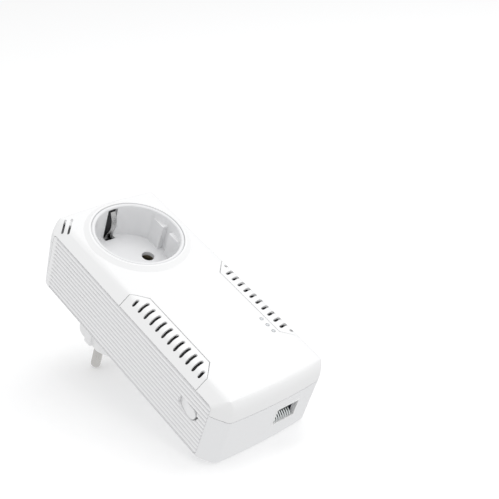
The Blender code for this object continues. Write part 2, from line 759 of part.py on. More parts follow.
def make_pin(name, side):
    tip = PIN_TIP_Y
    head = PLUG_FLOOR_Y - GAP
    profile = [(0, tip)]
    for step in range(1, 6):
        angle = math.radians(90 * step / 5)
        radius = PIN_RADIUS * (0.35 + 0.65 * math.sin(angle))
        profile.append((radius, tip - 1.7 * MM * (1 - math.cos(angle))))
    profile += [
        (PIN_RADIUS, head),
        (3.2 * MM, head),
        (3.2 * MM, PIN_HEAD_Y),
        (0, PIN_HEAD_Y),
    ]
    return paint(turned(name, profile, (side * CONTACT_X, 0), 28), "nickel")


def make_plug_earth_strip(name, side):
    """The side contact of the plug, a plate bowed outwards in its groove."""
    front, back = PLINTH_Y + 1.0 * MM, -2.0 * MM
    middle = (front + back) / 2
    inner, outer = 17.5 * MM, 18.3 * MM
    outline = [
        (front, side * inner),
        (back, side * inner),
        (back, side * (inner + 0.5 * MM)),
        (middle + 3.5 * MM, side * outer),
        (middle - 3.5 * MM, side * outer),
        (front, side * (inner + 0.5 * MM)),
    ]
    return paint(prism(name, outline, "X", -2.3 * MM, 2.3 * MM), "nickel")


def make_busbar(name, side):
    """The bent strap that joins a pin's head to the end of the sleeve in front of it."""
    x = side * CONTACT_X
    sheet = 0.8 * MM
    front, back = SLEEVE_BACK_Y + GAP, PIN_HEAD_Y - GAP
    top = SOCKET_Z + 3.6 * MM
    outline = [
        (front, -1.4 * MM),
        (front + sheet, -1.4 * MM),
        (front + sheet, top - sheet),
        (back - sheet, top - sheet),
        (back - sheet, -3.0 * MM),
        (back, -3.0 * MM),
        (back, top),
        (front, top),
    ]
    return paint(prism(name, outline, "X", x - 2.8 * MM, x + 2.8 * MM), "copper")


# ---------------------------------------------------------------- boards


def make_main_board():
    low = (-25.6 * MM, MAIN_BOARD_Y, -97.2 * MM)
    high = (25.6 * MM, MAIN_BOARD_Y + BOARD_THICKNESS, -25.0 * MM)
    board = box("main_board", low, high)
    for side in (-1, 1):
        hole = rod("post_notch", 3.8 * MM, "Y", low[1] - MM, high[1] + MM, (side * 21.8 * MM, -91 * MM), 20)
        cut(board, hole)
        outside, inside = side * 30 * MM, side * 21.8 * MM
        corner_low = (min(outside, inside), low[1] - MM, -110 * MM)
        corner_high = (max(outside, inside), high[1] + MM, -91 * MM)
        cut(board, box("board_corner", corner_low, corner_high))
    return paint(board, "board_green")


def make_front_board():
    low = (-18.6 * MM, FRONT_BOARD_Y, -79.5 * MM)
    high = (18.9 * MM, FRONT_BOARD_BACK_Y, -26.0 * MM)
    return paint(box("front_board", low, high), "board_green")


def on_main_board(name, low_x, high_x, low_z, high_z, height, material, bevel=0.3 * MM):
    back = MAIN_BOARD_Y - GAP
    low = (low_x * MM, back - height * MM, low_z * MM)
    return paint(box(name, low, (high_x * MM, back, high_z * MM), bevel), material)


def on_front_board(name, low_x, high_x, low_z, high_z, height, material, lift=0.0):
    front = FRONT_BOARD_BACK_Y + GAP + lift
    high = (high_x * MM, front + height * MM, high_z * MM)
    return paint(box(name, (low_x * MM, front, low_z * MM), high, 0.2 * MM), material)


def standing_can(name, x, z, radius, height, material):
    """A round part that stands on the main board."""
    back = MAIN_BOARD_Y - GAP
    edge = 0.5 * MM
    top = back - height * MM
    profile = [
        (0, back),
        (radius * MM, back),
        (radius * MM, top + edge),
        (radius * MM - edge, top),
        (0, top),
    ]
    return paint(turned(name, profile, (x * MM, z * MM), 24), material)


def make_jack():
    """The eight-way network jack: its mouth has the latch's steps towards the front."""
    low_z, high_z = BOTTOM_Z + WALL + GAP + 0.2 * MM, -79.8 * MM
    low = (JACK_X - 7.9 * MM, JACK_TOP_Y, low_z)
    high = (JACK_X + 7.9 * MM, MAIN_BOARD_Y - GAP, high_z)
    jack = box("rj45_jack", low, high, 0.3 * MM)
    steps = ((5.9, 2.1, 8.9, 13.2), (3.15, 0.7, 2.5, 12.4), (1.7, -0.2, 1.0, 12.4))
    for index, (half, start, end, depth) in enumerate(steps):
        mouth_low = (JACK_X - half * MM, PORT_Y + start * MM, low_z - MM)
        mouth_high = (JACK_X + half * MM, PORT_Y + end * MM, low_z + depth * MM)
        cut(jack, box(f"mouth_{index}", mouth_low, mouth_high))
    return paint(jack, "black_plastic")


def make_jack_contacts():
    """Eight sprung wires on one carrier bar, along the board's side of the jack's mouth."""
    floor_z = BOTTOM_Z + WALL + GAP + 13.0 * MM
    wall_y = PORT_Y + 8.9 * MM
    bar_low = (JACK_X - 4.6 * MM, wall_y - 1.4 * MM, floor_z - 1.6 * MM)
    bar_high = (JACK_X + 4.6 * MM, wall_y - 0.4 * MM, floor_z - 0.2 * MM)
    comb = box("rj45_contacts", bar_low, bar_high)
    front_z = BOTTOM_Z + WALL + 1.6 * MM
    for index in range(8):
        x = JACK_X + (index - 3.5) * 1.02 * MM
        outline = [
            (wall_y - 0.5 * MM, front_z),
            (wall_y - 1.0 * MM, front_z),
            (wall_y - 2.6 * MM, front_z + 5.2 * MM),
            (wall_y - 1.3 * MM, floor_z - 1.0 * MM),
            (wall_y - 0.6 * MM, floor_z - 1.0 * MM),
            (wall_y - 1.9 * MM, front_z + 5.0 * MM),
        ]
        join(comb, prism(f"wire_{index}", outline, "X", x - 0.22 * MM, x + 0.22 * MM))
    return paint(comb, "gold")


def make_toroid():
    """The ring choke, its winding taken as one turned body."""
    profile = []
    for step in range(12):
        angle = math.radians(-360 * step / 12)
        profile.append((4.6 * MM + 2.0 * MM * math.cos(angle), -38.0 * MM + 2.6 * MM * math.sin(angle)))
    return paint(turned("line_choke", profile, (17.0 * MM, -35.0 * MM), 24, closed=True), "copper")


def make_heat_sink():
    lift = 1.2 * MM + 2 * GAP
    sink = on_front_board("heat_sink", -8, 8, -62, -46, 1.4, "aluminium", lift)
    front = FRONT_BOARD_BACK_Y + lift + 1.5 * MM
    for index in range(6):
        x = -7.4 * MM + index * 2.96 * MM - 0.5 * MM
        fin = box(
            f"fin_{index}", (x, front - 0.4 * MM, -61.6 * MM), (x + MM, front + 3.0 * MM, -46.4 * MM)
        )
        join(sink, fin)
    return paint(sink, "aluminium")


def make_board_parts():
    on_main_board("network_transformer", 0.5, 16.0, -78.5, -69.0, 6.2, "black_plastic")
    on_main_board("mains_transformer", -20.5, -2.5, -58.5, -41.2, 13.8, "yellow_tape", 0.8 * MM)
    on_main_board("coupling_transformer", 2.0, 12.5, -65.5, -56.0, 8.5, "ferrite")
    on_main_board("line_capacitor", -1.0, 14.0, -53.0, -46.6, 12.0, "yellow_tape", 0.5 * MM)
    on_main_board("mains_fuse", -20.0, -11.0, -31.0, -27.0, 7.0, "black_plastic", 0.4 * MM)
    on_main_board("board_link", -12.5, 9.5, -40.0, -37.6, 20.9, "black_plastic", 0.2 * MM)
    standing_can("bulk_capacitor_a", -17.6, -66.2, 5.0, 14.0, "black_plastic")
    standing_can("bulk_capacitor_b", -6.2, -66.2, 5.0, 14.0, "black_plastic")
    standing_can("output_capacitor", -14.0, -93.2, 3.2, 11.0, "black_plastic")
    standing_can("surge_varistor", -5.0, -30.5, 4.2, 5.0, "blue_coat")
    make_toroid()
    on_front_board("line_chip", -6, 6, -60, -48, 0.9, "black_plastic")
    on_front_board("memory_chip", 10.0, 17.0, -60, -51, 0.9, "black_plastic")
    on_front_board("clock_crystal", -16.0, -10.5, -56.5, -53.0, 1.2, "steel")
    make_heat_sink()


def make_lights():
    for name, z in zip(("power", "network", "line"), LED_Z):
        pipe = rod(f"light_pipe_{name}", 0.65 * MM, "Y", FACE_Y, -57.75 * MM, (LED_X, z), 20)
        paint(pipe, "clear_plastic")
        low = (LED_X - 0.8 * MM, -57.45 * MM, z - 0.5 * MM)
        high = (LED_X + 0.8 * MM, FRONT_BOARD_Y - 0.3 * MM, z + 0.5 * MM)
        paint(box(f"led_{name}", low, high), "clear_plastic")


def make_screws():
    """Four cross-headed screws, sunk in the back."""
    names = ("upper_left", "upper_right", "lower_left", "lower_right")
    head = BACK_Y - 0.7 * MM
    for name, (x, z) in zip(names, SCREWS):
        profile = [
            (0, head),
            (1.9 * MM, head),
            (2.5 * MM, head - 0.5 * MM),
            (2.5 * MM, head - 1.5 * MM),
            (1.15 * MM, head - 1.5 * MM),
            (1.15 * MM, -53.0 * MM),
            (0, -54.0 * MM),
        ]
        screw = turned(f"screw_{name}", profile, (x, z), 20)
        for long_x, long_z in ((1.5, 0.35), (0.35, 1.5)):
            low = (x - long_x * MM, head - 0.9 * MM, z - long_z * MM)
            high = (x + long_x * MM, head + MM, z + long_z * MM)
            cut(screw, box("driver_slot", low, high))
        paint(screw, "steel")


# ---------------------------------------------------------------- button


def make_pair_button():
    """The long button: it lies sunk at its upper end and rises to its lower end."""
    face = -HALF_WIDTH + 0.1 * MM
    neck = -HALF_WIDTH + PANEL_DEPTH - 0.1 * MM
    cap = [(y, z) for z, y in stadium((BUTTON_Z, BUTTON_Y), BUTTON_LENGTH, BUTTON_WIDTH)]
    button = prism("pair_button", cap, "X", face, neck)
    upper = BUTTON_Z + BUTTON_LENGTH / 2
    ramp = [
        (face - 2 * MM, BUTTON_Z - 0.4 * MM),
        (face, BUTTON_Z - 0.4 * MM),
        (face + 1.5 * MM, upper - 1.4 * MM),
        (face + 1.5 * MM, upper + MM),
        (face - 2 * MM, upper + MM),
    ]
    scoop = prism("button_scoop", [(x, z) for x, z in ramp], "Y", BUTTON_Y - 5 * MM, BUTTON_Y + 5 * MM)
    cut(button, scoop)
    collar = stadium((BUTTON_Z, BUTTON_Y), BUTTON_LENGTH + 1.6 * MM, BUTTON_WIDTH + 1.6 * MM)
    collar = [(y, z) for z, y in collar]
    inner_face = -HALF_WIDTH + PANEL_DEPTH
    join(button, prism("button_flange", collar, "X", inner_face + 0.15 * MM, inner_face + 1.1 * MM))
    join(button, prism("button_neck", cap, "X", neck - 0.4 * MM, inner_face + 0.6 * MM))
    stem = rod("button_stem", 1.5 * MM, "X", inner_face + MM, PLUNGER_X - GAP, (BUTTON_Y, BUTTON_Z), 20)
    join(button, stem)
    set_origin(button, (face, BUTTON_Y, BUTTON_Z))
    return paint(button, "white_plastic")


def make_tact_switch():
    low = (-24.6 * MM, BUTTON_Y - 3.1 * MM, BUTTON_Z - 3.0 * MM)
    high = (-20.6 * MM, MAIN_BOARD_Y - GAP, BUTTON_Z + 3.0 * MM)
    body = box("tact_switch", low, high, 0.3 * MM)
    bore = rod("plunger_bore", 1.75 * MM, "X", low[0] - MM, -22.5 * MM, (BUTTON_Y, BUTTON_Z), 20)
    cut(body, bore)
    paint(body, "black_plastic")
    plunger = rod("tact_plunger", 1.4 * MM, "X", PLUNGER_X, -23.8 * MM, (BUTTON_Y, BUTTON_Z), 20)
    return paint(plunger, "white_plastic")


def main():
    build_materials()
    make_front_cover()
    make_rear_shell()
    make_side_panel("left_side_panel", -1)
    make_side_panel("right_side_panel", 1)
    make_vent_insert("left_vent_insert", -1)
    make_vent_insert("right_vent_insert", 1)
    make_socket_well()
    make_contact_carrier()
    for side, label in ((-1, "left"), (1, "right")):
        make_socket_contact(f"socket_contact_{label}", side)
        make_busbar(f"busbar_{label}", side)
        make_pin(f"pin_{label}", side)
    for side, label in ((1, "upper"), (-1, "lower")):
        make_earth_clip(f"earth_clip_{label}", side)
        make_plug_earth_strip(f"plug_earth_strip_{label}", side)
    make_earth_bridge()
    make_earth_link()
    make_plug_body()
    make_main_board()
    make_front_board()
    make_jack()
    make_jack_contacts()
    make_board_parts()
    make_lights()
    make_screws()
    make_pair_button()
    make_tact_switch()


clear_scene()
PARTS = add_collection("powerline_adapter")
CUTTERS = add_collection("cutters")
main()
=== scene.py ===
"""The looks of a white pass-through powerline adapter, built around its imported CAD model."""

import json
import math

import bpy
from mathutils import Matrix, Vector

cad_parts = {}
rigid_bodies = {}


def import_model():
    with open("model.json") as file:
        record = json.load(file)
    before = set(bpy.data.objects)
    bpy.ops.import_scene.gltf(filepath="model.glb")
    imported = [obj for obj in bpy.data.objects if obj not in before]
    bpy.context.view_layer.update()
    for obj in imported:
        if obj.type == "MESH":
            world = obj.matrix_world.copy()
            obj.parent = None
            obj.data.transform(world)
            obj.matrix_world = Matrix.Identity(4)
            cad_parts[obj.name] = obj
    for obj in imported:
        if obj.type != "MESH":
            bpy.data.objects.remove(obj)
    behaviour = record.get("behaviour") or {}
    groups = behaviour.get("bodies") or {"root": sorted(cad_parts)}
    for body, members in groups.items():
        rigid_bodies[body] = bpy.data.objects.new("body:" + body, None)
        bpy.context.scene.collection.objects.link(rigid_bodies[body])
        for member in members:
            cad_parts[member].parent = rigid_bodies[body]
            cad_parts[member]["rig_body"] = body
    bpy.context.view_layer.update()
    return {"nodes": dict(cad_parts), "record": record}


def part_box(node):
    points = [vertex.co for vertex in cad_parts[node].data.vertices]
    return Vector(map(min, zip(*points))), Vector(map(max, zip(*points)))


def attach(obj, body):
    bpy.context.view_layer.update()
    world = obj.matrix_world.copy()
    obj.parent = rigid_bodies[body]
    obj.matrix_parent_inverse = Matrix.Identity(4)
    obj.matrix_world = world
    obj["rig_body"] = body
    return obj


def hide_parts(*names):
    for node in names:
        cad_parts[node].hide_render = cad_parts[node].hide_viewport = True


MM = 0.001

# The socket: the height of its axis, the front of its rim, and its earth springs.
SOCKET_Z = 1.8 * MM
RIM_Y = -61.7 * MM
SPRING_BENDS = 14
SPRING_BOW = 2.9 * MM

# The ribbed sides: the ribs run along Z and repeat along Y, below a plain margin.
SIDE_X = 30.5 * MM
RIB_PITCH = 2.16 * MM
RIB_STEPS = 8
RIB_GROOVES = 14
RIB_DEPTH = 0.9 * MM
FIRST_GROOVE_Y = -53.75 * MM
RIB_TOP_Z = 19.6 * MM
SHEET_SPARE = 0.2 * MM

# The middle of the pair button on the left side.
BUTTON_Y = -42.4 * MM
BUTTON_Z = -80.1 * MM

# The network port's opening in the lower end, and its wires' bends as Y and Z in millimetres.
PORT_X = 8.3 * MM
PORT_FRONT_Y = -44.2 * MM
PORT_BACK_Y = -34.9 * MM
WIRE_PITCH = 1.24 * MM
WIRE_BENDS = ((-35.2, -99.5), (-35.9, -99.4), (-36.7, -98.8), (-37.5, -97.6), (-38.0, -96.2))

# The middle of each corner slot in X and Z, and its length, in millimetres.
CORNER_SLOTS = ((-26.3, 21.8, 6.5), (-24.2, 20.1, 9.3))

# The back edge of the lower end, which touches the floor.
BACK_EDGE_Y = -24.35 * MM

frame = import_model()


# ---------------------------------------------------------------- view, floor and light


def make_camera():
    """Low on the network port's side, looking up along the housing at the socket."""
    place = Vector((-0.2594, -0.3575, -0.2626))
    forward = Vector((0.62386, 0.61336, 0.48434))
    data = bpy.data.cameras.new("view")
    data.lens = 75.54
    data.sensor_width = 36
    camera = bpy.data.objects.new("view", data)
    camera.location = place
    level = forward.to_track_quat("-Z", "Y")
    roll = Matrix.Rotation(math.radians(46.28), 4, forward)
    camera.rotation_euler = (roll @ level.to_matrix().to_4x4()).to_euler()
    bpy.context.scene.collection.objects.link(camera)
    bpy.context.scene.camera = camera


def floor_material():
    """Plain white where the camera looks down on it, and clear to every other ray."""
    material = bpy.data.materials.new("floor_white")
    material.use_nodes = True
    nodes, links = material.node_tree.nodes, material.node_tree.links
    paint = nodes["Principled BSDF"]
    paint.inputs["Base Color"].default_value = (0.92, 0.92, 0.92, 1)
    paint.inputs["Roughness"].default_value = 0.9
    paint.inputs["Specular IOR Level"].default_value = 0.0
    paint.inputs["Emission Color"].default_value = (1, 1, 1, 1)
    paint.inputs["Emission Strength"].default_value = 0.12
    clear = nodes.new("ShaderNodeBsdfTransparent")
    side = nodes.new("ShaderNodeNewGeometry")
    ray = nodes.new("ShaderNodeLightPath")
    front = nodes.new("ShaderNodeMath")
    front.operation = "SUBTRACT"
    mix = nodes.new("ShaderNodeMixShader")
    links.new(ray.outputs["Is Camera Ray"], front.inputs[0])
    links.new(side.outputs["Backfacing"], front.inputs[1])
    front.use_clamp = True
    links.new(front.outputs["Value"], mix.inputs["Fac"])
    links.new(clear.outputs["BSDF"], mix.inputs[1])
    links.new(paint.outputs["BSDF"], mix.inputs[2])
    links.new(mix.outputs["Shader"], nodes["Material Output"].inputs["Surface"])
    return material


def make_floor():
    """The adapter lies face up on the tips of its pins and on the back edge of its lower end."""
    shell_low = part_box("rear_shell")[0]
    pin_low, pin_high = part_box("pin_left")
    edge = Vector((0, BACK_EDGE_Y, shell_low.z + 1.1 * MM))
    tips = Vector((0, pin_high.y, pin_low.z + 1.9 * MM))
    along = (tips - edge).normalized()
    normal = Vector((1, 0, 0)).cross(along)
    if normal.y > 0:
        normal.negate()
    bpy.ops.mesh.primitive_plane_add(size=6, location=(0, 0, 0))
    floor = bpy.context.object
    floor.name = "floor"
    floor.rotation_euler = normal.to_track_quat("Z", "Y").to_euler()
    floor.location = edge - normal * 0.1 * MM
    floor.data.materials.append(floor_material())


def add_light(name, place, target, size, power):
    data = bpy.data.lights.new(name, "AREA")
    data.energy = power
    data.size = size
    lamp = bpy.data.objects.new(name, data)
    lamp.location = place
    lamp.rotation_euler = (Vector(target) - Vector(place)).to_track_quat("-Z", "Y").to_euler()
    bpy.context.scene.collection.objects.link(lamp)


def make_room():
    """A pale room that the camera sees as plain white."""
    world = bpy.data.worlds.new("pale_room")
    world.use_nodes = True
    nodes, links = world.node_tree.nodes, world.node_tree.links
    glow = nodes["Background"]
    glow.inputs["Color"].default_value = (0.995, 0.997, 1, 1)
    glow.inputs["Strength"].default_value = 0.85
    seen = nodes.new("ShaderNodeBackground")
    seen.inputs["Color"].default_value = (1, 1, 1, 1)
    ray = nodes.new("ShaderNodeLightPath")
    mix = nodes.new("ShaderNodeMixShader")
    links.new(ray.outputs["Is Camera Ray"], mix.inputs["Fac"])
    links.new(glow.outputs["Background"], mix.inputs[1])
    links.new(seen.outputs["Background"], mix.inputs[2])
    links.new(mix.outputs["Shader"], nodes["World Output"].inputs["Surface"])
    bpy.context.scene.world = world
    bpy.context.scene.view_settings.view_transform = "Standard"


def make_lights():
    """A broad light in front of the face, and a faint small one into the socket."""
    face, recess = (0, -0.04, -0.035), (0, -0.045, SOCKET_Z)
    add_light("key", (0.42, -1.16, 0.05), face, size=1.2, power=4.7)
    add_light("socket_fill", (-0.12, -0.55, 0.1), recess, size=0.12, power=0.08)


# ---------------------------------------------------------------- shared effects


COLOUR, NUMBER, VECTOR = "NodeSocketColor", "NodeSocketFloat", "NodeSocketVector"
SURFACE_OUTPUTS = (("Colour", COLOUR), ("Roughness", NUMBER), ("Height", NUMBER))


def new_group(name, inputs, outputs):
    group = bpy.data.node_groups.new(name, "ShaderNodeTree")
    for label, kind, value in inputs:
        socket = group.interface.new_socket(label, in_out="INPUT", socket_type=kind)
        socket.default_value = value
    for label, kind in outputs:
        group.interface.new_socket(label, in_out="OUTPUT", socket_type=kind)
    return group, group.nodes.new("NodeGroupInput"), group.nodes.new("NodeGroupOutput")


def noise(group, vector, scale, detail=2.0):
    node = group.nodes.new("ShaderNodeTexNoise")
    node.inputs["Detail"].default_value = detail
    group.links.new(vector, node.inputs["Vector"])
    if isinstance(scale, (int, float)):
        node.inputs["Scale"].default_value = scale
    else:
        group.links.new(scale, node.inputs["Scale"])
    return node.outputs["Fac"]


def maths(group, operation, first, second, third=None):
    node = group.nodes.new("ShaderNodeMath")
    node.operation = operation
    for index, value in enumerate((first, second, third)):
        if isinstance(value, (int, float)):
            node.inputs[index].default_value = value
        elif value is not None:
            group.links.new(value, node.inputs[index])
    return node.outputs["Value"]


def blend_colours(group, amount, first, second):
    node = group.nodes.new("ShaderNodeMix")
    node.data_type = "RGBA"
    group.links.new(amount, node.inputs[0])
    group.links.new(first, node.inputs[6])
    group.links.new(second, node.inputs[7])
    return node.outputs[2]


def object_coordinates(group):
    return group.nodes.new("ShaderNodeTexCoord").outputs["Object"]


def moulded_group():
    """Moulded plastic: a fine spark grain, with faint clouding where the melt flowed."""
    inputs = (
        ("Colour", COLOUR, (0.8, 0.8, 0.8, 1)),
        ("Shade", COLOUR, (0.7, 0.7, 0.7, 1)),
        ("Grain Scale", NUMBER, 4000.0),
        ("Roughness", NUMBER, 0.4),
        ("Spread", NUMBER, 0.1),
    )
    group, given, result = new_group("moulded_plastic", inputs, SURFACE_OUTPUTS)
    place = object_coordinates(group)
    cloud = noise(group, place, 55.0, 3.0)
    grain = noise(group, place, given.outputs["Grain Scale"], 2.0)
    links = group.links
    colour = blend_colours(group, cloud, given.outputs["Colour"], given.outputs["Shade"])
    offset = maths(group, "SUBTRACT", grain, 0.5)
    rough = maths(group, "MULTIPLY_ADD", offset, given.outputs["Spread"], given.outputs["Roughness"])
    links.new(colour, result.inputs["Colour"])
    links.new(rough, result.inputs["Roughness"])
    links.new(grain, result.inputs["Height"])
    return group


def metal_group():
    """Drawn or rolled metal: fine streaks one way, and a faint stain."""
    inputs = (
        ("Colour", COLOUR, (0.8, 0.8, 0.8, 1)),
        ("Stain", COLOUR, (0.5, 0.5, 0.5, 1)),
        ("Streak Scale", VECTOR, (3000.0, 120.0, 3000.0)),
        ("Roughness", NUMBER, 0.3),
        ("Spread", NUMBER, 0.2),
    )
    group, given, result = new_group("drawn_metal", inputs, SURFACE_OUTPUTS)
    place = object_coordinates(group)
    stretch = group.nodes.new("ShaderNodeVectorMath")
    stretch.operation = "MULTIPLY"
    links = group.links
    links.new(place, stretch.inputs[0])
    links.new(given.outputs["Streak Scale"], stretch.inputs[1])
    streak = noise(group, stretch.outputs["Vector"], 1.0, 3.0)
    stain = noise(group, place, 260.0, 3.0)
    patch = maths(group, "MULTIPLY", maths(group, "MULTIPLY", stain, stain), 0.8)
    colour = blend_colours(group, patch, given.outputs["Colour"], given.outputs["Stain"])
    offset = maths(group, "SUBTRACT", streak, 0.5)
    rough = maths(group, "MULTIPLY_ADD", offset, given.outputs["Spread"], given.outputs["Roughness"])
    links.new(colour, result.inputs["Colour"])
    links.new(rough, result.inputs["Roughness"])
    links.new(streak, result.inputs["Height"])
    return group


def board_group():
    """Solder resist over copper tracks, with tinned round pads."""
    inputs = (
        ("Colour", COLOUR, (0.02, 0.16, 0.07, 1)),
        ("Track", COLOUR, (0.05, 0.27, 0.11, 1)),
        ("Pad", COLOUR, (0.62, 0.62, 0.60, 1)),
    )
    group, given, result = new_group("solder_resist", inputs, SURFACE_OUTPUTS)
    links = group.links
    apart = group.nodes.new("ShaderNodeSeparateXYZ")
    flat = group.nodes.new("ShaderNodeCombineXYZ")
    links.new(object_coordinates(group), apart.inputs["Vector"])
    links.new(apart.outputs["X"], flat.inputs["X"])
    links.new(apart.outputs["Z"], flat.inputs["Y"])
    tracks = group.nodes.new("ShaderNodeTexBrick")
    tracks.inputs["Scale"].default_value = 90.0
    tracks.inputs["Mortar Size"].default_value = 0.025
    tracks.inputs["Mortar Smooth"].default_value = 0.2
    links.new(flat.outputs["Vector"], tracks.inputs["Vector"])
    pads = group.nodes.new("ShaderNodeTexVoronoi")
    pads.inputs["Scale"].default_value = 330.0
    pads.inputs["Randomness"].default_value = 0.55
    links.new(flat.outputs["Vector"], pads.inputs["Vector"])
    round_pad = maths(group, "LESS_THAN", pads.outputs["Distance"], 0.17)
    resist = given.outputs["Colour"]
    tracked = blend_colours(group, tracks.outputs["Fac"], resist, given.outputs["Track"])
    colour = blend_colours(group, round_pad, tracked, given.outputs["Pad"])
    rough = maths(group, "MULTIPLY_ADD", round_pad, -0.1, 0.38)
    height = maths(group, "MAXIMUM", tracks.outputs["Fac"], round_pad)
    links.new(colour, result.inputs["Colour"])
    links.new(rough, result.inputs["Roughness"])
    links.new(height, result.inputs["Height"])
    return group


def ribbed_group():
    """Moulded ribs: a painted highlight along the crests, and painted shade in the grooves and over the
    plain margin above them.
    """
    inputs = (
        # The crest colour is a painted highlight and the groove colour a painted shade, mixed by each
        # point's place across a rib.
        ("Lit Crest", COLOUR, (0.985, 0.985, 0.988, 1)),
        ("Groove Shade", COLOUR, (0.7, 0.7, 0.71, 1)),
        ("Pitch", NUMBER, 0.00216),
        ("First Groove", NUMBER, 0.0),
        ("Top", NUMBER, 0.0),
        ("Roughness", NUMBER, 0.45),
    )
    group, given, result = new_group("ribbed_painted_shade", inputs, SURFACE_OUTPUTS)
    place = object_coordinates(group)
    apart = group.nodes.new("ShaderNodeSeparateXYZ")
    group.links.new(place, apart.inputs["Vector"])
    from_first = maths(group, "SUBTRACT", apart.outputs["Y"], given.outputs["First Groove"])
    turns_along = maths(group, "DIVIDE", from_first, given.outputs["Pitch"])
    crest_light = maths(group, "MULTIPLY", maths(group, "PINGPONG", turns_along, 0.5), 2.0)
    crest_light = maths(group, "POWER", crest_light, 0.75)
    # Above the ribs the plain margin stays at least seven tenths of the way to the crest colour, a
    # lighter painted shade.
    plain = maths(group, "GREATER_THAN", apart.outputs["Z"], given.outputs["Top"])
    amount = maths(group, "MAXIMUM", crest_light, maths(group, "MULTIPLY", plain, 0.7))
    colour = blend_colours(group, amount, given.outputs["Groove Shade"], given.outputs["Lit Crest"])
    grain = noise(group, place, 3600.0, 2.0)
    offset = maths(group, "SUBTRACT", grain, 0.5)
    rough = maths(group, "MULTIPLY_ADD", offset, 0.12, given.outputs["Roughness"])
    group.links.new(colour, result.inputs["Colour"])
    group.links.new(rough, result.inputs["Roughness"])
    group.links.new(grain, result.inputs["Height"])
    return group


def turns_group():
    """Turns of wire, or the edges of wrapped tape and sleeve, as even bands; the darker groove colour is
    painted shade between the turns of wire, and marks darker bands at the edges of tape and sleeve.
    """
    inputs = (
        ("Colour", COLOUR, (0.7, 0.36, 0.2, 1)),
        ("Groove Shade", COLOUR, (0.3, 0.1, 0.05, 1)),
        ("Turns Scale", NUMBER, 600.0),
        ("Roughness", NUMBER, 0.35),
    )
    group, given, result = new_group("wound_turns", inputs, SURFACE_OUTPUTS)
    links = group.links
    bands = group.nodes.new("ShaderNodeTexWave")
    bands.bands_direction = "Y"
    bands.inputs["Distortion"].default_value = 0.6
    links.new(object_coordinates(group), bands.inputs["Vector"])
    links.new(given.outputs["Turns Scale"], bands.inputs["Scale"])
    # Darker bands: painted shade between the turns of wire.
    colour = blend_colours(group, bands.outputs["Fac"], given.outputs["Groove Shade"], given.outputs["Colour"])
    rough = maths(group, "MULTIPLY_ADD", bands.outputs["Fac"], -0.1, given.outputs["Roughness"])
    links.new(colour, result.inputs["Colour"])
    links.new(rough, result.inputs["Roughness"])
    links.new(bands.outputs["Fac"], result.inputs["Height"])
    return group


MOULDED = moulded_group()
METAL = metal_group()
BOARD = board_group()
TURNS = turns_group()
RIBBED = ribbed_group()


def finish(name, group, values, metallic=0.0, strength=0.1, depth=0.00005, coat=0.0):
    """A material whose colour, roughness and relief come from a shared effect."""
    material = bpy.data.materials.new(name)
    material.use_nodes = True
    nodes, links = material.node_tree.nodes, material.node_tree.links
    shader = nodes["Principled BSDF"]
    shader.inputs["Metallic"].default_value = metallic
    shader.inputs["Coat Weight"].default_value = coat
    effect = nodes.new("ShaderNodeGroup")
    effect.node_tree = group
    for label, value in values.items():
        effect.inputs[label].default_value = value
    relief = nodes.new("ShaderNodeBump")
    relief.inputs["Strength"].default_value = strength
    relief.inputs["Distance"].default_value = depth
    links.new(effect.outputs["Colour"], shader.inputs["Base Color"])
    links.new(effect.outputs["Roughness"], shader.inputs["Roughness"])
    links.new(effect.outputs["Height"], relief.inputs["Height"])
    links.new(relief.outputs["Normal"], shader.inputs["Normal"])
    return material


def plastic(name, colour, shade, rough=0.4, grain=4200.0, spread=0.12, **more):
    values = {
        "Colour": (*colour, 1),
        "Shade": (*shade, 1),
        "Grain Scale": grain,
        "Roughness": rough,
        "Spread": spread,
    }
    return finish(name, MOULDED, values, **more)


def metal(name, colour, stain, streak=(3000.0, 120.0, 3000.0), rough=0.3, **more):
    values = {
        "Colour": (*colour, 1),
        "Stain": (*stain, 1),
        "Streak Scale": streak,
        "Roughness": rough,
    }
    return finish(name, METAL, values, metallic=1.0, **more)


def turns(name, colour, groove_shade, scale, rough=0.35, **more):
    values = {
        "Colour": (*colour, 1),
        "Groove Shade": (*groove_shade, 1),
        "Turns Scale": scale,
        "Roughness": rough,
    }
    return finish(name, TURNS, values, **more)


def white_mouldings():
    """The housing's whites, the plug's and the button's, and the milky lenses."""
    return {
        "cover_plastic": plastic("cover_white", (0.90, 0.90, 0.90), (0.885, 0.887, 0.89), 0.36),
        "shell_plastic": plastic(
            "shell_white", (0.875, 0.878, 0.885), (0.86, 0.863, 0.872), 0.42, 3600.0
        ),
        "vent_plastic": plastic("vent_white", (0.90, 0.90, 0.90), (0.885, 0.887, 0.89), 0.36),
        "socket_plastic": plastic(
            "socket_white", (0.86, 0.862, 0.868), (0.84, 0.842, 0.85), 0.34, 3000.0
        ),
        "plug_plastic": plastic(
            "plug_white", (0.87, 0.87, 0.872), (0.85, 0.85, 0.856), 0.36, 3000.0
        ),
        "button_plastic": plastic(
            "button_white", (0.90, 0.90, 0.905), (0.885, 0.886, 0.892), 0.3, 5200.0
        ),
        "plunger_plastic": plastic("plunger_white", (0.82, 0.82, 0.80), (0.79, 0.79, 0.77), 0.4),
        "lens_plastic": plastic(
            "lens_milky", (0.66, 0.68, 0.70), (0.60, 0.62, 0.65), 0.22, coat=0.5
        ),
        "led_plastic": plastic("led_milky", (0.84, 0.82, 0.66), (0.80, 0.77, 0.58), 0.3),
    }


